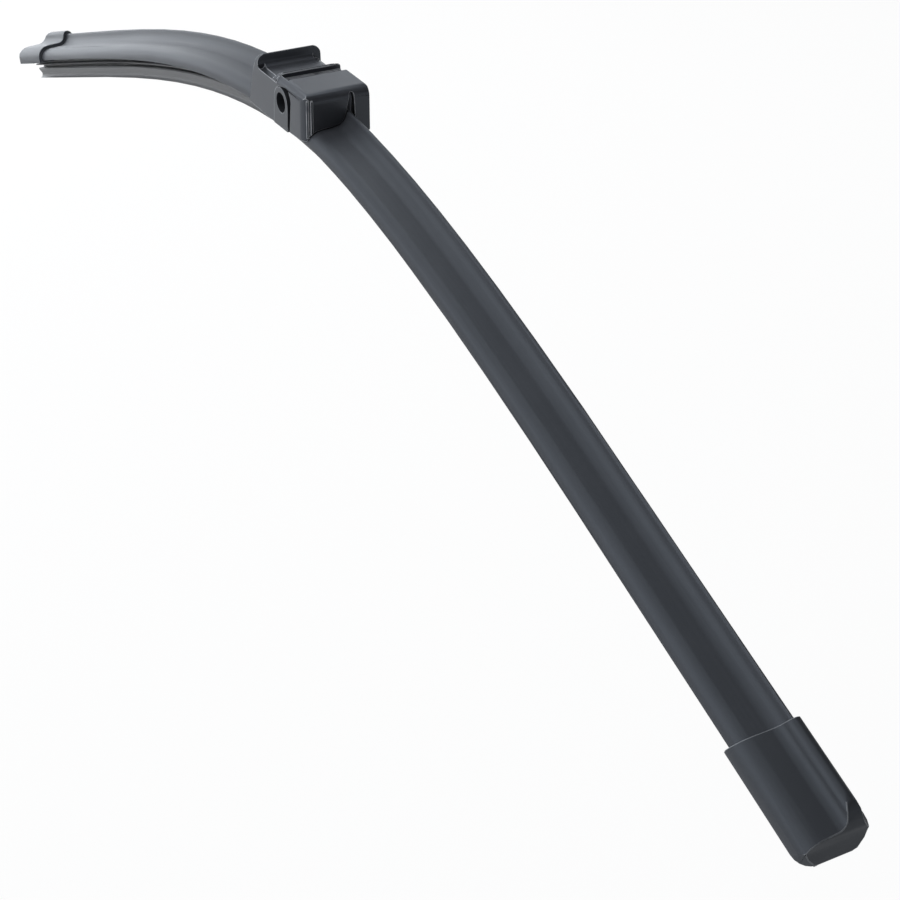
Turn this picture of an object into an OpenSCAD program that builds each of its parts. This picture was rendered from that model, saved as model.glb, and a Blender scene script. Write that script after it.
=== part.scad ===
// Flat beam wiper blade for an arm with a 22 mm side pin.
// X runs along the blade, Y across it, Z up; the glass is below. The origin is the centre of the pin bore.

/* [Blade] */
// Length along the arch from the connector's middle to the near tip
near_length = 292; // [240:1:340]
// Length along the arch from the connector's middle to the far tip
far_length = 287; // [240:1:340]
// Slope at the near tip, in degrees
near_tip_slope = 19.35; // [12:0.05:24]
// Slope at the far tip, in degrees
far_tip_slope = 19.75; // [12:0.05:24]
// How fast the bend dies away from the middle to the tips
bend_fade = 3.55; // [2:0.05:4.5]

/* [Spoiler] */
// How much narrower the lee half is than the wind half
lee_inset = 1.5; // [1.2:0.1:1.8]
// Height of the low shoulder above the bottom edge
shoulder_height = 4.4; // [4.3:0.1:5]
// Radius of the shoulder
shoulder_radius = 4.1; // [3.4:0.1:4.2]
// Radius of the hollow that sweeps up to the fin
hollow_radius = 4.4; // [4:0.1:4.8]
// Height of the fin
fin_height = 9.1; // [8.6:0.1:9.6]
// Thickness of the fin at its round top
fin_thickness = 1.4; // [1.3:0.1:2]
// Distance of the fin from the blade's middle plane
fin_offset = 3.95; // [3.8:0.05:4.3]
// Radius of the hollow behind the fin
lee_radius = 7.2; // [6.8:0.1:7.6]
// Wall of the spoiler
spoiler_wall = 1.2; // [1:0.1:1.4]
// Thickness of the hooks that hold the rails
hook_wall = 1.2; // [1:0.1:1.3]

/* [Rails] */
// Room between the hook that holds a rail and the lee edge
skirt_room = 0.75; // [0.6:0.05:1]
// Thickness of one spring rail
rail_thickness = 0.9; // [0.7:0.05:1.1]
// Slot between the two rails
rail_slot = 2; // [1.6:0.1:2.4]
// Height of the rails' underside above the spoiler's bottom edge
rail_height = 0.9; // [0.8:0.05:1]

/* [Wiper rubber] */
// Depth of the straight lip below the spoiler's bottom edge
lip_depth = 9; // [8.4:0.1:9.6]
// How far the lip has set over to the wind side at its edge
lip_lean = 2.4; // [0:0.1:4]
// Thickness of the lip at its edge
lip_thickness = 0.8; // [0.6:0.05:1]
// Width of the wedge above the lip
wedge_width = 5.8; // [5:0.1:6]
// Thickness of the hinge web
hinge_web = 1; // [0.8:0.05:1.4]
// Distance from the rubber's end to the blade's tip
rubber_inset = 2.4; // [2:0.1:6]

/* [End caps] */
// Length of an end cap
cap_length = 33.7; // [30:0.1:38]
// Wall of an end cap
cap_wall = 1.2; // [1:0.1:1.4]
// Backward lean of the cap's mouth, in degrees
mouth_lean = 15; // [8:1:18]
// Plan radius of the cap's corner on the wind side
cap_wind_corner = 4.6; // [3:0.1:5]
// Plan radius of the cap's corner on the fin side
cap_fin_corner = 5.8; // [4.5:0.1:7]
// Depth of the spoiler inside the cap
spoiler_depth = 14; // [10:0.5:16]
// Depth of the rails inside the cap
rail_depth = 21; // [18:0.5:24]

/* [Connector] */
// Width of the housing
housing_width = 22; // [21.8:0.1:22.6]
// Side wall of the housing
housing_wall = 1.2; // [1:0.05:1.25]
// Distance from the connector's middle to its front face
front_reach = 20.6; // [19.5:0.1:22]
// Distance from the connector's middle to its rear edge
rear_reach = 20.2; // [19:0.1:22]
// Diameter of the pin bore
pin_bore = 6.4; // [6:0.05:6.6]
// Distance of the bore ahead of the connector's middle
bore_ahead = 3.75; // [3:0.05:4.5]
// Height of the bore above the spoiler's bottom edge
bore_height = 7.6; // [7.4:0.05:7.8]
// Radius of the ear around the bore
ear_radius = 4.8; // [4.4:0.1:4.9]
// How far the ears stand out of the housing's sides
ear_proud = 0.15; // [0.05:0.05:0.4]
// Height of the trough floor above the spoiler's bottom edge
trough_height = 12.9; // [12.7:0.1:13.2]
// Height of the rear lip
rear_lip_height = 16.7; // [16.2:0.1:17.4]
// Height of the lip between trough and groove
mid_lip_height = 15.6; // [15.3:0.1:16]
// Height of the front block
block_height = 15.3; // [15:0.1:15.8]

/* [Fit] */
// Clearance between pieces that slide or seat
fit_gap = 0.15; // [0.1:0.01:0.2]
// Clearance round the spoiler in the housing's front wall
spoiler_gap = 0.35; // [0.3:0.05:0.5]
// Clearance between the spoiler and the housing's side walls
side_gap = 0.2; // [0.1:0.05:0.3]

/* [Hidden] */
$fn = 48;
arc_steps = 5;
over = 1;

// Slope of the arch at distance s from the middle: the bend is strongest there and dies away towards the tips
function half_length(s) = s > 0 ? near_length : far_length;
function tip_slope(s) = s > 0 ? near_tip_slope : -far_tip_slope;
function slope(s) = tip_slope(s) * (1 - pow(max(0, 1 - abs(s) / half_length(s)), bend_fade));
function sum(v, i = 0) = i < len(v) ? v[i] + sum(v, i + 1) : 0;
// Point of the arch at distance s, added up in short steps
function spot(s) = let (n = 24, d = s / n, at = [for (k = [0:n - 1]) slope((k + 0.5) * d)])
    [d * sum([for (a = at) cos(a)]), -d * sum([for (a = at) sin(a)])];
// Radius of the arch at its middle
middle_radius = (near_length + far_length) / (near_tip_slope + far_tip_slope) / bend_fade * 180 / PI;
// Stations that share out the bend evenly: shared turns a distance into an even measure, spaced turns it back
share = (bend_fade + 1) / 2;
function shared(s) = sign(s) * (1 - pow(max(0, 1 - abs(s) / half_length(s)), share));
function spaced(t) = sign(t) * half_length(t) * (1 - pow(1 - abs(t), 1 / share));

// Points of a round stretch of an outline
function arc(c, r, a0, a1) = [for (k = [0:arc_steps]) let (a = a0 + (a1 - a0) * k / arc_steps)
    [c[0] + r * cos(a), c[1] + r * sin(a)]];

// Outer line of the spoiler, grown outwards by g, from the wind side over the fin to the lee side
wind_side = housing_width / 2 - housing_wall - side_gap;
lee_side = wind_side - lee_inset;
fin_radius = fin_thickness / 2;
fin_top = fin_height - fin_radius;
hollow_centre = [fin_offset - fin_radius - hollow_radius, shoulder_height + 0.3 + hollow_radius];
lee_centre = [fin_offset + fin_radius + lee_radius, fin_top + 0.3];
lee_start = 180 + asin(0.3 / lee_radius);
function lee_end(g) = 180 + acos((lee_centre[0] - lee_side - g) / (lee_radius - g));
function skin(g) = concat(
    arc([shoulder_radius - wind_side, shoulder_height - shoulder_radius], shoulder_radius + g, 180, 94),
    arc(hollow_centre, hollow_radius - g, 272, 344),
    arc([fin_offset, fin_top], fin_radius + g, 160, 10),
    arc(lee_centre, lee_radius - g, lee_start, lee_end(g)));

// Rails, hooks and the channel that the rubber's head runs in
rail_in = rail_slot / 2;
rail_width = lee_side - rail_in - hook_wall - fit_gap - skirt_room;
rail_out = rail_in + rail_width;
rail_top = rail_height + rail_thickness;
hook_in = rail_out + fit_gap;
hook_out = hook_in + hook_wall;
hook_low = -fit_gap;
hook_lip = rail_height - fit_gap;
hook_reach = 1.75;
hook_gap = hook_in - hook_reach;
channel_top = rail_top + 0.2;
head_width = 3.2;
head_top = rail_top + fit_gap + 0.95;
head_room = head_top + 0.25;
skirt_bevel = 0.1;

function hook_line() = [
    [hook_out, hook_low], [hook_gap, hook_low], [hook_gap, hook_lip], [hook_in, hook_lip],
    [hook_in, channel_top], [head_width + fit_gap, channel_top], [head_width + fit_gap, head_room],
    [-head_width - fit_gap, head_room], [-head_width - fit_gap, channel_top], [-hook_in, channel_top],
    [-hook_in, hook_lip], [-hook_gap, hook_lip], [-hook_gap, hook_low], [-hook_out, hook_low]];
function spoiler_line() = concat([[-wind_side, 0]], skin(0), [[lee_side, 0], [hook_out, 0]], hook_line(), [
    [-hook_out, shoulder_height - spoiler_wall - 0.7],
    [-wind_side + spoiler_wall + 0.5, shoulder_height - spoiler_wall - 1.5],
    [-wind_side + spoiler_wall, 1], [-wind_side + spoiler_wall - skirt_bevel, skirt_bevel]]);

// Triangles that fill a flat clockwise outline, found by cutting off one corner at a time
function turn(a, b, c) = (b[0] - a[0]) * (c[1] - a[1]) - (b[1] - a[1]) * (c[0] - a[0]);
function holds(a, b, c, p) = turn(a, b, p) <= 0 && turn(b, c, p) <= 0 && turn(c, a, p) <= 0;
function corner(left, i) = [left[(i + len(left) - 1) % len(left)], left[i], left[(i + 1) % len(left)]];
function is_free(points, left, t) = turn(points[t[0]], points[t[1]], points[t[2]]) < -0.001
    && len([for (k = left) if (k != t[0] && k != t[1] && k != t[2]
        && holds(points[t[0]], points[t[1]], points[t[2]], points[k])) k]) == 0;
function fill(points, left) = len(left) < 3 ? [] :
    let (i = [for (i = [0:len(left) - 1]) if (is_free(points, left, corner(left, i))) i][0])
        concat([corner(left, i)], fill(points, [for (k = [0:len(left) - 1]) if (k != i) left[k]]));

// The section [across, up] swept along the arch from s0 to s1, with more rings where it bends more
module swept(points, s0, s1) {
    ring_step = 0.085;
    t0 = shared(s0);
    t1 = shared(s1);
    count = ceil((t1 - t0) / ring_step);
    stations = concat([s0], [for (k = [1:count - 1]) spaced(t0 + (t1 - t0) * k / count)], [s1]);
    rings = [for (s = stations) let (o = spot(s), a = slope(s))
        for (p = points) [o[0] + p[1] * sin(a), p[0], o[1] + p[1] * cos(a)]];
    n = len(points);
    last = (len(stations) - 1) * n;
    sides = [for (r = [0:len(stations) - 2]) for (k = [0:n - 1])
        let (a = r * n + k, b = r * n + (k + 1) % n) each [[a, b, b + n], [a, b + n, a + n]]];
    ends = fill(points, [for (k = [0:n - 1]) k]);
    polyhedron(rings, concat([for (t = ends) [t[2], t[1], t[0]]], sides,
        [for (t = ends) [for (k = t) last + k]]));
}

// Moves what is drawn from the blade's own frame, with the arch's top at zero, to the bore's frame
module from_bore() {
    translate([-bore_ahead, 0, -bore_height]) children();
}

// Puts what is drawn at station s of a straight end, with X on along the blade
module at_end(s) {
    translate([spot(s)[0], 0, spot(s)[1]]) rotate([0, slope(s), 0]) children();
}

// A line of points [along, up], extruded across the blade between y0 and y1
module across(points, y0, y1) {
    translate([0, y1, 0]) rotate([90, 0, 0]) linear_extrude(y1 - y0) polygon(points);
}

near_mouth = near_length - cap_length;
far_mouth = far_length - cap_length;
carrier_front = bore_ahead + ear_radius + 2.2;
carrier_back = 7;

module spoiler_near() {
    color([0.26, 0.26, 0.28]) from_bore()
        swept(spoiler_line(), carrier_front + 0.3, near_mouth + spoiler_depth);
}

module spoiler_far() {
    color([0.26, 0.26, 0.28]) from_bore()
        swept(spoiler_line(), -far_mouth - spoiler_depth, -carrier_back - 0.3);
}

function mirrored_order(points) = [for (k = [len(points) - 1:-1:0]) points[k]];

module rail(side) {
    inner = side * rail_in;
    outer = side * rail_out;
    section = [[inner, rail_height], [outer, rail_height], [outer, rail_top], [inner, rail_top]];
    from_bore() swept(side > 0 ? mirrored_order(section) : section, -far_mouth - rail_depth, near_mouth + rail_depth);
}

module rail_wind_side() {
    color([0.55, 0.56, 0.58]) rail(-1);
}

module rail_lee_side() {
    color([0.55, 0.56, 0.58]) rail(1);
}

// Right half of the straight rubber's section, from the top of the head down to the lip
flange_half = hook_gap - 0.6;
flange_low = hook_low - 2.8;
wedge_top = flange_low - 0.85;
wedge_half = wedge_width / 2;
lip_half = lip_thickness / 2;
function rubber_side() = [
    [head_width - 0.5, head_top], [head_width, head_top - 0.35], [head_width, rail_top + fit_gap],
    [rail_in - fit_gap, rail_top + fit_gap], [rail_in - fit_gap, rail_height - fit_gap],
    [hook_gap - 0.3, rail_height - fit_gap], [hook_gap - 0.3, hook_low - 0.1], [1.7, hook_low - 0.45],
    [1.5, flange_low + 1.15], [flange_half - 0.2, flange_low + 0.9], [flange_half, flange_low + 0.6],
    [flange_half - 0.2, flange_low + 0.35], [hinge_web / 2 + 0.4, flange_low],
    [hinge_web / 2, flange_low - 0.25], [hinge_web / 2, wedge_top + 0.25], [hinge_web / 2 + 0.5, wedge_top],
    [wedge_half - 0.3, wedge_top], [wedge_half, wedge_top - 0.4], [wedge_half - 0.4, wedge_top - 1.1],
    [wedge_half - 1, wedge_top - 1.9], [lip_half + 0.9, wedge_top - 2.6], [lip_half + 0.4, wedge_top - 3.6],
    [lip_half + 0.1, wedge_top - 4.4], [lip_half, -lip_depth]];
function mirrored(points) = [for (k = [len(points) - 1:-1:0]) [-points[k][0], points[k][1]]];

// The lip bends over below the wedge, and rises as it does so
lip_run = lip_depth + wedge_top - 0.4;
lip_rise = 2 / 3 * lip_lean * lip_lean / lip_run;
function leant(p) = let (t = max(0, wedge_top - 0.4 - p[1]) / lip_run) [p[0] - lip_lean * t * t, p[1] + lip_rise * t * t];

module wiper_rubber() {
    color([0.2, 0.2, 0.2]) from_bore()
        swept([for (p = concat(rubber_side(), mirrored(rubber_side()))) leant(p)],
            rubber_inset - far_length, near_length - rubber_inset);
}

// Plan of a cap from its mouth to its round end; the fin side is at +Y
cap_wind = wind_side + fit_gap + cap_wall;
cap_lee = lee_side + fit_gap + cap_wall;
cap_bottom = hook_low - fit_gap - 0.7;
function cap_plan() = concat([[-over, cap_lee]],
    arc([cap_length - cap_fin_corner, cap_lee - cap_fin_corner], cap_fin_corner, 90, 0),
    arc([cap_length - cap_wind_corner, cap_wind_corner - cap_wind], cap_wind_corner, 0, -90),
    [[-over, -cap_wind]]);

// Side view of a cap: the end leans back from the base and rounds over to the fin's top
cap_top = fin_height + fit_gap + cap_wall;
nose_radius = 8.1;
nose_back = 1.7;
function cap_profile() = concat([[-over, cap_bottom - over], [-over, cap_top + 0.01]],
    arc([cap_length - nose_back - nose_radius, cap_top + 0.01 - nose_radius], nose_radius, 90, 5),
    [[cap_length, cap_bottom + 0.8], [cap_length, cap_bottom - over]]);

module cap_body() {
    section = concat([[-cap_wind, cap_bottom]], skin(fit_gap + cap_wall), [[cap_lee, cap_bottom]]);
    intersection() {
        rotate([90, 0, 90]) linear_extrude(cap_length) polygon(section);
        translate([0, 0, cap_bottom - over]) linear_extrude(fin_height * 2) polygon(cap_plan());
        across(cap_profile(), -cap_wind - over, cap_lee + over);
    }
}

module end_cap() {
    rail_room = fit_gap + 0.1;
    difference() {
        cap_body();
        // Leaning mouth
        rotate([0, mouth_lean, 0]) translate([-30, -20, -10]) cube([30, 40, 40]);
        // Pocket for the spoiler's end
        translate([-over, 0, 0]) rotate([90, 0, 90]) linear_extrude(spoiler_depth + over + 0.3)
            polygon(concat([[-wind_side - fit_gap, hook_low - fit_gap]], skin(fit_gap),
                [[lee_side + fit_gap, hook_low - fit_gap]]));
        // Slots for the two rails
        for (side = [-1, 1])
            translate([spoiler_depth - over, side * (rail_in + rail_width / 2) - rail_width / 2 - rail_room,
                rail_height - rail_room])
                cube([rail_depth - spoiler_depth + over + 0.3, rail_width + 2 * rail_room,
                    rail_thickness + 2 * rail_room]);
        // Slot, open below, that the rubber runs into
        translate([-over, 0, 0]) rotate([90, 0, 90]) linear_extrude(cap_length - rubber_inset + over + 0.3)
            polygon([[-hook_gap, cap_bottom - over], [-hook_gap, rail_height], [-head_width - fit_gap, rail_height],
                [-head_width - fit_gap, head_room], [head_width + fit_gap, head_room],
                [head_width + fit_gap, rail_height], [hook_gap, rail_height], [hook_gap, cap_bottom - over]]);
    }
}

module end_cap_near() {
    color([0.24, 0.24, 0.25]) from_bore() at_end(near_mouth) end_cap();
}

module end_cap_far() {
    color([0.24, 0.24, 0.25]) from_bore() at_end(-far_mouth) mirror([1, 0, 0]) difference() {
        end_cap();
        // Latch notch in the lower edge of the wind side
        translate([6, -cap_wind - over, cap_bottom - over]) cube([3.6, over + cap_wall, over + 0.45]);
    }
}

// Heights and stations of the connector, from the arch's top
ear_half = housing_width / 2 + ear_proud;
bore_at = [bore_ahead, bore_height];
tube_length = 2 * ear_half;
tube_radius = ear_radius - 0.6;
ear_inner = housing_width / 2 - housing_wall - 0.9;
wall_low = -0.75;
wall_low_front = 0.5;
inner_half = housing_width / 2 - housing_wall;
ear_splay = 0.5;

// Side view of one ear: round over the bore, straight down to the foot
module ear_shape() {
    translate(bore_at) circle(ear_radius);
    polygon([[bore_ahead - ear_radius, bore_height], [bore_ahead - ear_radius - ear_splay, wall_low],
        [bore_ahead + ear_radius - 0.2, wall_low + 0.2], [bore_ahead + ear_radius, bore_height]]);
}

// Claws that grip the rails over the middle of the arch, as one true arc
module claws() {
    line = concat(hook_line(), [[-hook_out, channel_top + 2], [hook_out, channel_top + 2]]);
    front_turn = carrier_front / middle_radius * 180 / PI;
    back_turn = carrier_back / middle_radius * 180 / PI;
    translate([0, 0, -middle_radius]) rotate([90, 0, 0])
        rotate_extrude(angle = front_turn + back_turn, start = 90 - front_turn, $fn = 720)
            translate([middle_radius, 0]) polygon([for (p = line) [p[1], -p[0]]]);
}

module pin_carrier() {
    color([0.3, 0.3, 0.31]) from_bore() difference() {
        union() {
            claws();
            for (side = [-1, 1])
                translate([0, side > 0 ? ear_half : -ear_inner, 0]) rotate([90, 0, 0])
                    linear_extrude(ear_half - ear_inner) ear_shape();
            translate([bore_ahead, ear_half, bore_height]) rotate([90, 0, 0])
                cylinder(r = tube_radius, h = tube_length);
            // Pedestal between the claws and the tube
            translate([bore_ahead - 3.6, -hook_out, head_room + 0.3])
                cube([7.2, 2 * hook_out, bore_height - head_room - 0.3]);
            // Feet that tie each ear to the claws
            for (side = [-1, 1])
                translate([bore_ahead - 2, side > 0 ? hook_out - 0.5 : -ear_inner - 0.5, 0.4])
                    cube([4, ear_inner - hook_out + 1, channel_top + 1.2]);
        }
        translate([bore_ahead, ear_half + over, bore_height]) rotate([90, 0, 0])
            cylinder(d = pin_bore, h = tube_length + 2 * over);
    }
}

// Side view of the rear part: leaning rear edge, rear lip and trough floor
rear_lip_at = -rear_reach + 5.7;
trough_to = -2.4;
function rear_profile() = concat(
    [[-rear_reach - 0.3, wall_low], [-rear_reach + 0.8, bore_height - 3.8], [-rear_reach + 2.9, bore_height + 3.6],
    [-rear_reach + 4.5, trough_height + 1.1]],
    arc([rear_lip_at, rear_lip_height - 0.5], 0.5, 160, 15),
    arc([rear_lip_at + 2.8, trough_height + 2.2], 2.2, 180, 270),
    [[groove_from, trough_height], [groove_from, wall_low]]);

// Side view of the thin lip between the trough and the groove
groove_from = 0.6;
groove_floor = trough_height + 0.6;
function mid_lip_profile() = concat(
    [[trough_to - 0.9, trough_height - 2], [trough_to - 0.9, trough_height - 0.01],
    [trough_to - 0.2, trough_height + 0.15], [trough_to + 0.4, trough_height + 0.75]],
    arc([groove_from - 0.6, mid_lip_height - 0.45], 0.45, 145, 20),
    [[groove_from, groove_floor], [groove_from, trough_height - 2]]);

// Side view of the front block, which reaches back under the groove
groove_to = 5.5;
function block_profile() = concat(
    [[groove_from - 0.9, wall_low], [groove_from - 0.9, block_height]],
    arc([front_reach - front_round, block_height - front_round], front_round, 90, 0),
    [[front_reach, wall_low_front + 1.2]],
    arc([front_reach - 1.2, wall_low_front + 1.2], 1.2, 0, -80));
function groove_profile() = [
    [groove_from, block_height + over], [groove_from, groove_floor + 0.3], [groove_from + 0.3, groove_floor],
    [groove_to - 0.4, groove_floor], [groove_to, groove_floor + 0.4], [groove_to, block_height + over]];

// Cross-section with a round upper corner on each side, extruded along the connector
module round_topped(height, wind_round, lee_round, lee_flare, x0, x1) {
    half = housing_width / 2;
    translate([x0, 0, 0]) rotate([90, 0, 90]) linear_extrude(x1 - x0)
        polygon(concat([[half + lee_flare, wall_low - over]],
            arc([half - lee_round, height - lee_round], lee_round, 0, 90),
            arc([wind_round - half, height - wind_round], wind_round, 90, 180), [[-half, wall_low - over]]));
}

front_round = 3.3;
lip_round = 2.8;
block_wind_round = 3;
block_lee_round = 0.8;
wind_corner = 3.5;
lee_corner = 0.6;
block_flare = 0.35;
gutter_radius = 1.2;

module housing_shell() {
    half = housing_width / 2;
    block_plan = concat([[groove_from - 2, half + over]],
        arc([front_reach - lee_corner, half + block_flare - lee_corner], lee_corner, 90, 0),
        arc([front_reach - wind_corner, wind_corner - half], wind_corner, 0, -90), [[groove_from - 2, -half]]);
    difference() {
        intersection() {
            across(rear_profile(), -half, half);
            round_topped(rear_lip_height, lip_round, lip_round, 0, -rear_reach - over, groove_from + over);
        }
        // Round lee edge of the trough floor
        translate([rear_lip_at + 0.7, 0, 0]) rotate([90, 0, 90]) linear_extrude(trough_to - rear_lip_at + 2)
            polygon(concat(arc([half - lip_round, trough_height - lip_round], lip_round, 0, 90),
                [[half - lip_round, rear_lip_height], [half + over, rear_lip_height],
                [half + over, trough_height - lip_round]]));
        // Shallow gutter beside the wind edge of the trough floor
        translate([rear_lip_at + 1, gutter_radius + 0.1 - half, trough_height + 0.5]) rotate([0, 90, 0])
            cylinder(r = gutter_radius, h = trough_to - rear_lip_at - 1.6);
    }
    intersection() {
        across(mid_lip_profile(), -half, half);
        round_topped(mid_lip_height, lip_round, lip_round, 0, trough_to - over, groove_to);
    }
    difference() {
        intersection() {
            across(block_profile(), -half, half + over);
            round_topped(block_height, block_wind_round, block_lee_round, block_flare, groove_from - 2,
                front_reach + over);
            translate([0, 0, wall_low - over]) linear_extrude(block_height + 3) polygon(block_plan);
        }
        across(groove_profile(), 1.8 - half, half + 2 * over);
    }
    // Two fine upright ribs on the front corner of the wind side
    for (a = [15, 37])
        translate([front_reach - wind_corner, wind_corner - half, wall_low_front + 1.2]) rotate([0, 0, -a])
            translate([wind_corner - 0.15, 0, 0]) cylinder(r = 0.3, h = block_height - wall_low_front - 3);
}
// Hollow of the housing: open below and behind, closed by the roof and the front wall
module housing_hollow() {
    roof = 1.4;
    ear_room = bore_height + ear_radius + 0.2;
    wall = 1.7;
    across([[-rear_reach - 2 * over, wall_low - over], [-rear_reach - 2 * over, trough_height + 0.6],
        [rear_lip_at - 1.7, trough_height + 0.6], [rear_lip_at + 1.5, trough_height - roof],
        [trough_to, trough_height - roof], [bore_ahead - ear_radius + 0.4, ear_room],
        [bore_ahead + ear_radius - 0.5, ear_room], [groove_to + 5, block_height - roof],
        [front_reach - 2 * wall, block_height - roof], [front_reach - wall, block_height - roof - 2],
        [front_reach - wall, wall_low - over]], -inner_half, inner_half);
}

// Side view of the cut-out in each side wall: close to the ear behind it, wide ahead of it
module ear_cutout() {
    gap_radius = 3.5;
    gap_at = [bore_ahead + 3.45, bore_height + 2.1];
    translate(bore_at) circle(ear_radius + fit_gap);
    translate(gap_at) circle(gap_radius);
    polygon([bore_at, [bore_at[0], bore_at[1] + ear_radius + fit_gap], [gap_at[0] - 0.3, gap_at[1] + gap_radius - 0.01],
        gap_at, [gap_at[0] + gap_radius, gap_at[1]], [gap_at[0] + gap_radius - 1.4, wall_low - over],
        [bore_ahead - ear_radius - ear_splay - 0.1 - fit_gap, wall_low - over],
        [bore_ahead - ear_radius - fit_gap, bore_height]]);
}

module connector_housing() {
    slot_top = trough_height + 1.2;
    slot_half = 0.7;
    slot_at = fin_offset + 1.05;
    color([0.3, 0.31, 0.32]) from_bore() difference() {
        housing_shell();
        housing_hollow();
        // Openings for the ears
        for (side = [-1, 1])
            translate([0, side > 0 ? housing_width / 2 + over : -inner_half + 0.1, 0]) rotate([90, 0, 0])
                linear_extrude(housing_wall + over + 0.1) ear_cutout();
        // Opening in the front wall that the spoiler runs through
        translate([front_reach - 3, 0, -slope_drop()]) rotate([90, 0, 90]) linear_extrude(3 + over)
            polygon(concat([[-wind_side - 0.1, wall_low - over]], skin_in_wall(), [[lee_side + 0.6, wall_low - over]]));
        // Tapered slot above it for the fin
        translate([front_reach - 3, 0, 0]) rotate([90, 0, 90]) linear_extrude(3 + over)
            polygon(concat([[fin_offset - fin_radius - spoiler_gap, fin_height - 1.5]],
                arc([slot_at, slot_top - slot_half], slot_half, 180, 0), [[slot_at + slot_half + 0.4, fin_height - 3]]));
    }
}

// Drop of the arch at the front wall, and the spoiler's outline there with its clearance
function slope_drop() = -spot(front_reach)[1];
function skin_in_wall() = [for (p = skin(spoiler_gap)) [max(p[0], -wind_side - 0.1), p[1]]];

spoiler_near();
spoiler_far();
rail_wind_side();
rail_lee_side();
wiper_rubber();
end_cap_near();
end_cap_far();
pin_carrier();
connector_housing();
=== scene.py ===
import bisect
import math

import bpy
from mathutils import Matrix, Vector


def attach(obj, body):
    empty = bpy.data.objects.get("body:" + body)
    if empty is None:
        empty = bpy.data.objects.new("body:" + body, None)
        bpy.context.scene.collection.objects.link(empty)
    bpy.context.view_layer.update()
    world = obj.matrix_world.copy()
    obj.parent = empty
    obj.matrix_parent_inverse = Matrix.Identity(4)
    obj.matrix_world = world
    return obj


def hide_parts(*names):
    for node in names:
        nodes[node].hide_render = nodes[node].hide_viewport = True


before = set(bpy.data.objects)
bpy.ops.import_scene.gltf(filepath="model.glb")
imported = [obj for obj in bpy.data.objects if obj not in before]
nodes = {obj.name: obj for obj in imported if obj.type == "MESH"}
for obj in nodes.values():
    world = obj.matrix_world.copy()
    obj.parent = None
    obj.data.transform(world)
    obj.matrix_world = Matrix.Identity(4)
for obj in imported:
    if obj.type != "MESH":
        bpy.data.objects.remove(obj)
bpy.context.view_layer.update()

mm = 0.001

# the arch that the blade follows, in millimetres and degrees
arch = {
    "nearLength": 292.0,
    "farLength": 287.0,
    "nearTipSlope": 19.35,
    "farTipSlope": 19.75,
    "bendFade": 3.55,    # how soon a half has taken most of its slope
    "boreAhead": 3.75,   # of the bore from the arch's top
    "boreHeight": 7.6,
    "rows": 310,         # one for each millimetre of a half, and some past its tip
    "rounds": 4,         # in which a point's distance along the arch settles
}


def deselectAll():
    for item in list(bpy.context.selected_objects):
        item.select_set(False)
    bpy.context.view_layer.objects.active = None


def pick(item):
    deselectAll()
    item.select_set(True)
    bpy.context.view_layer.objects.active = item


def slopeAt(s):
    length = arch["nearLength"] if s > 0 else arch["farLength"]
    tip = arch["nearTipSlope"] if s > 0 else -arch["farTipSlope"]
    return math.radians(tip * (1 - max(0.0, 1 - abs(s) / length) ** arch["bendFade"]))


def archTable():
    # distance along the arch, with the x and z reached there
    rows = [(0.0, 0.0, 0.0)]
    for way in (-1, 1):
        x = z = 0.0
        for k in range(arch["rows"]):
            middle = slopeAt(way * (k + 0.5))
            x += way * math.cos(middle)
            z -= way * math.sin(middle)
            rows.append((way * (k + 1.0), x, z))
    return sorted(rows)


archRows = archTable()
archAcross = [row[1] for row in archRows]


def bladePlace(point):
    # distance along the arch, across it and above it, for a point of the frame
    x = point[0] / mm + arch["boreAhead"]
    z = point[2] / mm + arch["boreHeight"]
    s = archRows[min(bisect.bisect(archAcross, x), len(archRows) - 1)][0]
    for _ in range(arch["rounds"]):
        k = min(max(math.floor(s) + arch["rows"], 0), len(archRows) - 2)
        row, ahead = archRows[k], archRows[k + 1]
        rowX = row[1] + (ahead[1] - row[1]) * (s - row[0])
        rowZ = row[2] + (ahead[2] - row[2]) * (s - row[0])
        slope = slopeAt(s)
        s += (x - rowX) * math.cos(slope) - (z - rowZ) * math.sin(slope)
    up = (x - rowX) * math.sin(slope) + (z - rowZ) * math.cos(slope)
    return s, point[1] / mm, up


# how a node's copy is cleaned and rounded, in millimetres and degrees
copySet = {
    "mergeDistance": 0.004,
    "flatAngle": 0.6,      # under which neighbouring faces become one
    "edgeAngle": 38,       # over which an edge is rounded
    "edgeSegments": 2,
    "edgeSlot": 1,         # material slot that marks the rounded edges, until markPlace has read it
    "flatWeight": 50,      # 1 to 100: how much larger faces lead the shading where faces meet
}


def cloneNode(nodeName, pieceName):
    # a merged copy of a CAD node, with its flat faces joined again
    piece = bpy.data.objects.new(pieceName, nodes[nodeName].data.copy())
    bpy.context.scene.collection.objects.link(piece)
    piece.data.materials.clear()
    pick(piece)
    bpy.ops.object.mode_set(mode="EDIT")
    bpy.ops.mesh.select_all(action="SELECT")
    bpy.ops.mesh.remove_doubles(threshold=copySet["mergeDistance"] * mm)
    bpy.ops.mesh.dissolve_limited(angle_limit=math.radians(copySet["flatAngle"]))
    bpy.ops.mesh.normals_make_consistent(inside=False)
    bpy.ops.object.mode_set(mode="OBJECT")
    for _ in range(copySet["edgeSlot"] + 1):
        piece.data.materials.append(None)   # empty slots, so that the bevel can mark its faces
    return piece


def roundEdges(piece, width, heldBack):
    pick(piece)
    bevel = piece.modifiers.new("edgeRound", "BEVEL")
    bevel.limit_method = "ANGLE"
    bevel.angle_limit = math.radians(copySet["edgeAngle"])
    bevel.width = width * mm
    bevel.segments = copySet["edgeSegments"]
    bevel.use_clamp_overlap = heldBack
    bevel.material = copySet["edgeSlot"]
    bpy.ops.object.modifier_apply(modifier=bevel.name)


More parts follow.
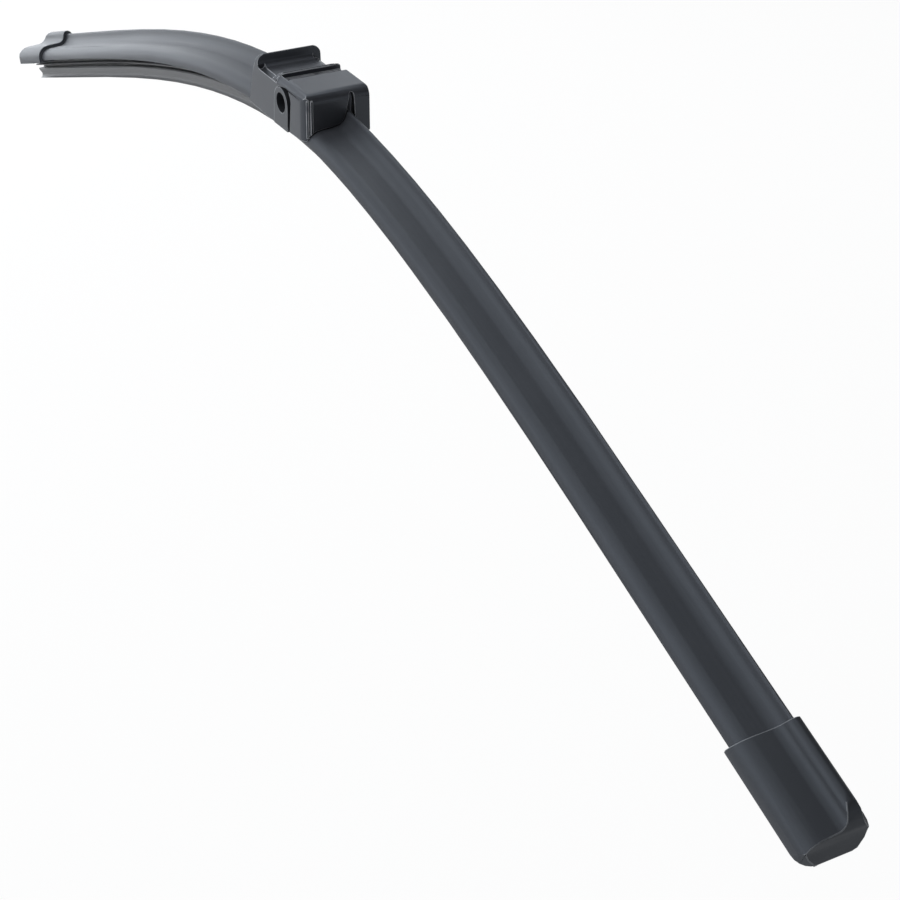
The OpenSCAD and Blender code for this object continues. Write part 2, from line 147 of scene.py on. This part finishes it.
def smoothFaces(piece, angle):
    # rounded edges shade into the flats, and the flats stay flat
    pick(piece)
    bpy.ops.object.shade_smooth_by_angle(angle=math.radians(angle))
    weighted = piece.modifiers.new("flatFaces", "WEIGHTED_NORMAL")
    weighted.keep_sharp = True
    weighted.weight = copySet["flatWeight"]
    bpy.ops.object.modifier_apply(modifier=weighted.name)


def markPlace(piece):
    # edgeBand is 1 on the rounded edges, for wear and painted highlights, and bladePlace is the
    # blade's own measure in metres, for patterns that run along the arch
    band = piece.data.attributes.new("edgeBand", "FLOAT", "FACE")
    for face in piece.data.polygons:
        band.data[face.index].value = 1.0 if face.material_index == copySet["edgeSlot"] else 0.0
        face.material_index = 0
    place = piece.data.attributes.new("bladePlace", "FLOAT_VECTOR", "POINT")
    for vertex in piece.data.vertices:
        s, y, up = bladePlace(vertex.co)
        place.data[vertex.index].vector = (s * mm, y * mm, up * mm)


def finishPiece(piece, material, nodeName):
    piece.data.materials.clear()
    piece.data.materials.append(material)
    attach(piece, "root")
    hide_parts(nodeName)


def feed(tree, socket, value):
    # another node's output is linked to the socket, and a number or a colour is set on it
    if isinstance(value, bpy.types.NodeSocket):
        tree.links.new(value, socket)
    else:
        socket.default_value = value


def mathStep(tree, operation, *values, clamp=False):
    node = tree.nodes.new("ShaderNodeMath")
    node.operation = operation
    node.use_clamp = clamp
    for socket, value in zip(node.inputs, values):
        feed(tree, socket, value)
    return node.outputs[0]


def rampStep(tree, value, ends):
    node = tree.nodes.new("ShaderNodeMapRange")
    node.interpolation_type = "SMOOTHSTEP"
    feed(tree, node.inputs["Value"], value)
    feed(tree, node.inputs["From Min"], ends[0])
    feed(tree, node.inputs["From Max"], ends[1])
    return node.outputs["Result"]


def noiseStep(tree, vector, scale, detail):
    node = tree.nodes.new("ShaderNodeTexNoise")
    feed(tree, node.inputs["Vector"], vector)
    feed(tree, node.inputs["Scale"], scale)
    feed(tree, node.inputs["Detail"], detail)
    return node.outputs["Fac"]


def perMetre(tree, millimetres):
    # the texture scale that gives a feature this size
    return mathStep(tree, "DIVIDE", 1 / mm, millimetres)


def newGroup(name, coordinate, settings, result):
    # a shader group that reads one coordinate and some numbers, and puts out one number
    group = bpy.data.node_groups.new(name, "ShaderNodeTree")
    group.interface.new_socket(name=coordinate, in_out="INPUT", socket_type="NodeSocketVector")
    for label, value in settings.items():
        socket = group.interface.new_socket(
            name=label, in_out="INPUT", socket_type="NodeSocketFloat")
        socket.default_value = value
    group.interface.new_socket(name=result, in_out="OUTPUT", socket_type="NodeSocketFloat")
    return group, group.nodes.new("NodeGroupInput"), group.nodes.new("NodeGroupOutput")


# where the groups' noise starts to show and where it is full, and how fine it is
groupSet = {
    "streakDetail": 3.0,
    "dustDetail": 5.0, "dustPatches": (0.38, 0.66),
    "dustUpward": (-0.1, 0.9),   # of the normal's z
    "rubAndHighlightScale": 220.0, "rubAndHighlightDetail": 4.0, "rubAndHighlightBroken": (0.2, 0.55),
}


def buildGrain():
    # fine moulded or extruded texture, as a height between 0 and 1
    group, inside, outside = newGroup(
        "fineGrain", "Vector", {"Size mm": 0.3, "Detail": 3.0}, "Height")
    height = noiseStep(group, inside.outputs["Vector"],
                       perMetre(group, inside.outputs["Size mm"]), inside.outputs["Detail"])
    feed(group, outside.inputs["Height"], height)
    return group


def buildStreaks():
    # lines that run along the blade, drawn out by the extruder's die
    group, inside, outside = newGroup(
        "alongStreaks", "Place", {"Length mm": 60.0, "Width mm": 0.5}, "Mask")
    split = group.nodes.new("ShaderNodeSeparateXYZ")
    join = group.nodes.new("ShaderNodeCombineXYZ")
    feed(group, split.inputs[0], inside.outputs["Place"])
    along = perMetre(group, inside.outputs["Length mm"])
    across = perMetre(group, inside.outputs["Width mm"])
    for axis, scale in enumerate((along, across, across)):
        feed(group, join.inputs[axis], mathStep(group, "MULTIPLY", split.outputs[axis], scale))
    mask = noiseStep(group, join.outputs[0], 1.0, groupSet["streakDetail"])
    feed(group, outside.inputs["Mask"], mask)
    return group


def buildDust():
    # pale film that settles on what faces up, broken by soft patches
    group, inside, outside = newGroup(
        "dustFilm", "Vector", {"Patch mm": 12.0, "Amount": 0.3}, "Mask")
    geometry = group.nodes.new("ShaderNodeNewGeometry")
    split = group.nodes.new("ShaderNodeSeparateXYZ")
    feed(group, split.inputs[0], geometry.outputs["Normal"])
    noise = noiseStep(group, inside.outputs["Vector"],
                      perMetre(group, inside.outputs["Patch mm"]), groupSet["dustDetail"])
    upward = rampStep(group, split.outputs[2], groupSet["dustUpward"])
    patches = rampStep(group, noise, groupSet["dustPatches"])
    both = mathStep(group, "MULTIPLY", upward, patches)
    mask = mathStep(group, "MULTIPLY", both, inside.outputs["Amount"], clamp=True)
    feed(group, outside.inputs["Mask"], mask)
    return group


def buildEdges():
    # rounded edges made pale: painted highlights where light catches them, broken up like rubbing
    # wear
    group, inside, outside = newGroup(
        "edgeRubAndHighlight", "Vector", {"Band": 0.0, "Amount": 0.5}, "Mask")
    noise = noiseStep(group, inside.outputs["Vector"], groupSet["rubAndHighlightScale"], groupSet["rubAndHighlightDetail"])
    broken = rampStep(group, noise, groupSet["rubAndHighlightBroken"])
    both = mathStep(group, "MULTIPLY", inside.outputs["Band"], broken)
    mask = mathStep(group, "MULTIPLY", both, inside.outputs["Amount"], clamp=True)
    feed(group, outside.inputs["Mask"], mask)
    return group


grainGroup = buildGrain()
streakGroup = buildStreaks()
dustGroup = buildDust()
edgeGroup = buildEdges()
print("shader groups built")


def placeGroup(tree, group, values):
    node = tree.nodes.new("ShaderNodeGroup")
    node.node_tree = group
    for label, value in values.items():
        feed(tree, node.inputs[label], value)
    return node.outputs[0]


def attributeStep(tree, name):
    node = tree.nodes.new("ShaderNodeAttribute")
    node.attribute_name = name
    return node


def mixColour(tree, factor, first, second):
    node = tree.nodes.new("ShaderNodeMix")
    node.data_type = "RGBA"
    feed(tree, node.inputs["Factor"], factor)
    for label, value in (("A", first), ("B", second)):
        socket = [item for item in node.inputs if item.name == label and item.type == "RGBA"][0]
        feed(tree, socket, (*value, 1.0) if isinstance(value, tuple) else value)
    return [item for item in node.outputs if item.type == "RGBA"][0]


def makeFinish(name, look):
    material = bpy.data.materials.new(name)
    material.use_nodes = True
    tree = material.node_tree
    shader = tree.nodes["Principled BSDF"]
    point = tree.nodes.new("ShaderNodeTexCoord").outputs["Object"]
    place = point
    if look["followsBlade"]:
        place = attributeStep(tree, "bladePlace").outputs["Vector"]
    band = attributeStep(tree, "edgeBand").outputs["Fac"]
    grain = placeGroup(tree, grainGroup, {
        "Vector": place, "Size mm": look["grainSize"], "Detail": look["grainDetail"]})
    tone = placeGroup(tree, streakGroup, {
        "Place": place, "Length mm": look["streakLength"], "Width mm": look["streakWidth"]})
    dust = placeGroup(tree, dustGroup, {
        "Vector": point, "Patch mm": look["dustPatch"], "Amount": look["dustAmount"]})
    rubAndHighlight = placeGroup(tree, edgeGroup, {
        "Vector": point, "Band": band, "Amount": look["rubAndHighlightAmount"]})

    toneMask = rampStep(tree, tone, look["toneEnds"])
    colour = mixColour(tree, toneMask, look["darkColour"], look["colour"])
    colour = mixColour(tree, dust, colour, look["dustColour"])
    # the rounded edges are lightened: painted highlights, broken up like rubbing wear
    colour = mixColour(tree, rubAndHighlight, colour, look["rubAndHighlightColour"])
    feed(tree, shader.inputs["Base Color"], colour)

    smoothest = look["roughness"] - look["roughSpread"] / 2
    rough = mathStep(tree, "MULTIPLY_ADD", tone, look["roughSpread"], smoothest)
    dustRough = mathStep(tree, "MULTIPLY", dust, look["dustRoughness"])
    feed(tree, shader.inputs["Roughness"], mathStep(tree, "ADD", rough, dustRough, clamp=True))

    height = mathStep(tree, "ADD", mathStep(tree, "MULTIPLY", grain, look["grainDepth"]),
                      mathStep(tree, "MULTIPLY", tone, look["streakDepth"]))
    bump = tree.nodes.new("ShaderNodeBump")
    bump.inputs["Strength"].default_value = 1.0
    bump.inputs["Distance"].default_value = mm
    feed(tree, bump.inputs["Height"], height)
    feed(tree, shader.inputs["Normal"], bump.outputs["Normal"])

    shader.inputs["Metallic"].default_value = look["metallic"]
    shader.inputs["Specular IOR Level"].default_value = look["specular"]
    shader.inputs["Specular Tint"].default_value = (*look["shineColour"], 1.0)
    return material


# what all finishes share; sizes, lengths and depths are in millimetres
baseLook = {
    "grainDetail": 3.0, "toneEnds": (0.3, 0.7), "dustRoughness": 0.2, "metallic": 0.0,
    "specular": 0.5, "shineColour": (1.0, 1.0, 1.0), "followsBlade": True,
}
# what the black plastics share: a cool sheen
plasticLook = dict(baseLook, specular=0.6, shineColour=(0.8, 0.88, 1.0))
# extruded soft spoiler: matt, faintly lined along its length
spoilerLook = {
    **plasticLook,
    "colour": (0.040, 0.041, 0.046), "darkColour": (0.033, 0.034, 0.038),
    "roughness": 0.52, "roughSpread": 0.12,
    "grainSize": 0.25, "grainDepth": 0.010,
    "streakLength": 70.0, "streakWidth": 0.8, "streakDepth": 0.012,
    "dustColour": (0.10, 0.10, 0.11), "dustPatch": 16.0, "dustAmount": 0.08,
    # pale edges: painted highlights along the spoiler's rounded edges
    "rubAndHighlightColour": (0.20, 0.20, 0.21), "rubAndHighlightAmount": 0.6,
}
# moulded end caps: more even than the spoiler
capLook = {
    **plasticLook,
    "colour": (0.036, 0.037, 0.041), "darkColour": (0.033, 0.034, 0.038),
    "roughness": 0.51, "roughSpread": 0.04,
    "grainSize": 0.35, "grainDepth": 0.006,
    "streakLength": 22.0, "streakWidth": 5.0, "streakDepth": 0.005,
    "dustColour": (0.09, 0.09, 0.095), "dustPatch": 9.0, "dustAmount": 0.04,
    # pale rims: painted highlights on the caps' rounded edges
    "rubAndHighlightColour": (0.22, 0.225, 0.235), "rubAndHighlightAmount": 0.8,
}
# moulded connector, with strong painted highlights on its rounded edges
housingLook = {
    **plasticLook,
    "colour": (0.042, 0.043, 0.048), "darkColour": (0.039, 0.040, 0.045),
    "roughness": 0.40, "roughSpread": 0.04,
    "grainSize": 0.3, "grainDepth": 0.008,
    "streakLength": 9.0, "streakWidth": 7.0, "streakDepth": 0.005,
    "dustColour": (0.14, 0.14, 0.15), "dustPatch": 7.0, "dustAmount": 0.06,
    "rubAndHighlightColour": (0.52, 0.525, 0.54), "rubAndHighlightAmount": 0.85,
    "followsBlade": False,
}
# the connector's inner part, a little darker
carrierLook = {
    **housingLook,
    "colour": (0.036, 0.037, 0.041), "darkColour": (0.033, 0.034, 0.038),
    "rubAndHighlightAmount": 0.4,
}
# wiping rubber, coated with graphite
rubberLook = {
    **baseLook,
    "colour": (0.15, 0.15, 0.153), "darkColour": (0.11, 0.11, 0.113),
    "roughness": 0.5, "roughSpread": 0.2,
    "grainSize": 0.2, "grainDepth": 0.012,
    "streakLength": 30.0, "streakWidth": 0.5, "streakDepth": 0.02,
    "dustColour": (0.2, 0.2, 0.2), "dustPatch": 8.0, "dustAmount": 0.15,
    "rubAndHighlightColour": (0.30, 0.30, 0.31), "rubAndHighlightAmount": 0.6,
}
# zinc-flaked spring strip
railLook = {
    **baseLook,
    "colour": (0.22, 0.225, 0.235), "darkColour": (0.15, 0.152, 0.16),
    "roughness": 0.36, "roughSpread": 0.14,
    "grainSize": 0.15, "grainDepth": 0.006,
    "streakLength": 40.0, "streakWidth": 0.2, "streakDepth": 0.006,
    "dustColour": (0.3, 0.3, 0.3), "dustPatch": 10.0, "dustAmount": 0.1,
    "rubAndHighlightColour": (0.5, 0.5, 0.5), "rubAndHighlightAmount": 0.5,
    "metallic": 0.9,
}
spoilerRubber = makeFinish("spoilerRubber", spoilerLook)
capPlastic = makeFinish("capPlastic", capLook)
housingPlastic = makeFinish("housingPlastic", housingLook)
carrierPlastic = makeFinish("carrierPlastic", carrierLook)
wiperRubber = makeFinish("wiperRubber", rubberLook)
springSteel = makeFinish("springSteel", railLook)
print("finishes built")

# what each CAD node becomes: rounded is the width of its rounded edges in millimetres, heldBack
# keeps them narrower where faces are narrow, and up to smooth degrees faces shade as one
spoilerNear = {
    "node": "spoiler_near", "piece": "spoilerNear", "finish": spoilerRubber,
    "slot": "spoiler_rubber", "rounded": 0.12, "heldBack": True, "smooth": 32,
}
spoilerFar = {
    "node": "spoiler_far", "piece": "spoilerFar", "finish": spoilerRubber,
    "slot": "spoiler_rubber", "rounded": 0.12, "heldBack": True, "smooth": 32,
}
railWindSide = {
    "node": "rail_wind_side", "piece": "railWindSide", "finish": springSteel,
    "slot": "spring_steel", "rounded": 0.1, "heldBack": True, "smooth": 32,
}
railLeeSide = {
    "node": "rail_lee_side", "piece": "railLeeSide", "finish": springSteel,
    "slot": "spring_steel", "rounded": 0.1, "heldBack": True, "smooth": 32,
}
wiperBladeRubber = {
    "node": "wiper_rubber", "piece": "wiperBladeRubber", "finish": wiperRubber,
    "slot": "wiper_rubber", "rounded": 0.05, "heldBack": True, "smooth": 32,
}
endCapNear = {
    "node": "end_cap_near", "piece": "endCapNear", "finish": capPlastic,
    "slot": "cap_plastic", "rounded": 0.22, "heldBack": False, "smooth": 40,
}
endCapFar = {
    "node": "end_cap_far", "piece": "endCapFar", "finish": capPlastic,
    "slot": "cap_plastic", "rounded": 0.22, "heldBack": False, "smooth": 40,
}
pinCarrier = {
    "node": "pin_carrier", "piece": "pinCarrier", "finish": carrierPlastic,
    "slot": "carrier_plastic", "rounded": 0.12, "heldBack": False, "smooth": 40,
}
connectorHousing = {
    "node": "connector_housing", "piece": "connectorHousing", "finish": housingPlastic,
    "slot": "housing_plastic", "rounded": 0.16, "heldBack": False, "smooth": 50,
}
for part in (spoilerNear, spoilerFar, railWindSide, railLeeSide, wiperBladeRubber,
             endCapNear, endCapFar, pinCarrier, connectorHousing):
    piece = cloneNode(part["node"], part["piece"])
    roundEdges(piece, part["rounded"], part["heldBack"])
    smoothFaces(piece, part["smooth"])
    markPlace(piece)
    finishPiece(piece, part["finish"], part["node"])
    print(part["piece"], len(piece.data.polygons), "faces")

# camera at the photograph's viewing point
cameraView = {
    "place": (0.52334, -0.24360, 0.23372),
    "right": (0.48064823, 0.87671915, 0.0184614),
    "up": (-0.47435376, 0.24223546, 0.84635128),
    "lens": 79.017,
    "sensor": 36.0,
    "nearest": 0.01,
    "farthest": 50.0,
}
bpy.ops.object.camera_add()
camera = bpy.context.object
camera.name = "photoCamera"
camera.data.lens = cameraView["lens"]
camera.data.sensor_width = cameraView["sensor"]
camera.data.clip_start = cameraView["nearest"]
camera.data.clip_end = cameraView["farthest"]
rightWay = Vector(cameraView["right"])
upWay = Vector(cameraView["up"])
backWay = rightWay.cross(upWay)
turned = Matrix((rightWay, upWay, backWay)).transposed().to_4x4()
camera.matrix_world = Matrix.Translation(Vector(cameraView["place"])) @ turned
bpy.context.scene.camera = camera

# pale floor, well below the blade, so that only a soft shadow reaches it; all but the shadow
# share of it glows where the camera sees it, and the gloss share where the blade reflects it
floorSet = {
    "depth": -0.36,
    "size": 14.0,
    "colour": (0.86, 0.86, 0.86),
    "roughness": 0.9,
    "shadowShare": 0.06,
    "glossShare": 0.52,
}
bpy.ops.mesh.primitive_plane_add(size=floorSet["size"], location=(0, 0, floorSet["depth"]))
floor = bpy.context.object
floor.name = "studioFloor"
paper = bpy.data.materials.new("floorPaper")
paper.use_nodes = True
paperTree = paper.node_tree
paperShader = paperTree.nodes["Principled BSDF"]
paperShader.inputs["Base Color"].default_value = (*floorSet["colour"], 1.0)
paperShader.inputs["Roughness"].default_value = floorSet["roughness"]
glow = paperTree.nodes.new("ShaderNodeEmission")
rays = paperTree.nodes.new("ShaderNodeLightPath")
mixPaper = paperTree.nodes.new("ShaderNodeMixShader")
seenShare = mathStep(
    paperTree, "MULTIPLY", rays.outputs["Is Camera Ray"], 1 - floorSet["shadowShare"])
glossShare = mathStep(
    paperTree, "MULTIPLY", rays.outputs["Is Glossy Ray"], floorSet["glossShare"])
feed(paperTree, mixPaper.inputs[0], mathStep(paperTree, "MAXIMUM", seenShare, glossShare))
feed(paperTree, mixPaper.inputs[1], paperShader.outputs[0])
feed(paperTree, mixPaper.inputs[2], glow.outputs[0])
feed(paperTree, paperTree.nodes["Material Output"].inputs["Surface"], mixPaper.outputs[0])
floor.data.materials.append(paper)

# soft boxes round the blade: place, size and power
softboxes = {
    "topBox": ((0.0, 0.0, 1.2), (0.8, 0.8), 3.4),
    "leftTopBox": ((0.0, -0.85, 0.85), (0.8, 0.8), 3.6),
    "leftBox": ((0.0, -1.25, 0.3), (0.8, 0.8), 4.9),
    "backTopBox": ((-0.85, 0.0, 0.85), (0.8, 0.8), 4.1),
    "backBox": ((-1.25, 0.0, 0.3), (0.8, 0.8), 2.0),
    "backLeftBox": ((-0.9, -0.85, 0.4), (0.8, 0.8), 4.2),
    "backRightBox": ((-0.9, 0.85, 0.4), (0.8, 0.8), 3.8),
    "backLowBox": ((-1.25, 0.0, -0.1), (0.8, 0.45), 4.2),
    "frontRightBox": ((1.15, 0.45, 0.2), (0.5, 0.4), 0.8),
}
lightSet = {"colour": (0.92, 0.96, 1.0), "target": (0.0, 0.0, -0.03)}
for name, (spot, size, power) in softboxes.items():
    bpy.ops.object.light_add(type="AREA", location=spot)
    lamp = bpy.context.object
    lamp.name = name
    lamp.data.shape = "RECTANGLE"
    lamp.data.size, lamp.data.size_y = size
    lamp.data.energy = power
    lamp.data.color = lightSet["colour"]
    lamp.rotation_mode = "QUATERNION"
    toBlade = Vector(lightSet["target"]) - Vector(spot)
    lamp.rotation_quaternion = toBlade.to_track_quat("-Z", "Y")

# the surround is white where the camera sees it, and dim where it lights the blade
surroundSet = {"colour": (1.0, 1.0, 1.0), "ambient": 0.038, "glossLevel": 0.04}
world = bpy.data.worlds.new("studioSurround")
bpy.context.scene.world = world
world.use_nodes = True
worldTree = world.node_tree
surround = worldTree.nodes["Background"]
worldRays = worldTree.nodes.new("ShaderNodeLightPath")
seen = mathStep(worldTree, "MAXIMUM",
                worldRays.outputs["Is Camera Ray"], worldRays.outputs["Is Transmission Ray"])
shine = mathStep(
    worldTree, "MULTIPLY", worldRays.outputs["Is Glossy Ray"], surroundSet["glossLevel"])
level = mathStep(
    worldTree, "MAXIMUM", mathStep(worldTree, "MAXIMUM", seen, shine), surroundSet["ambient"])
feed(worldTree, surround.inputs["Strength"], level)
surround.inputs["Color"].default_value = (*surroundSet["colour"], 1.0)
bpy.context.scene.view_settings.view_transform = "Standard"
print("camera, floor and lights set")
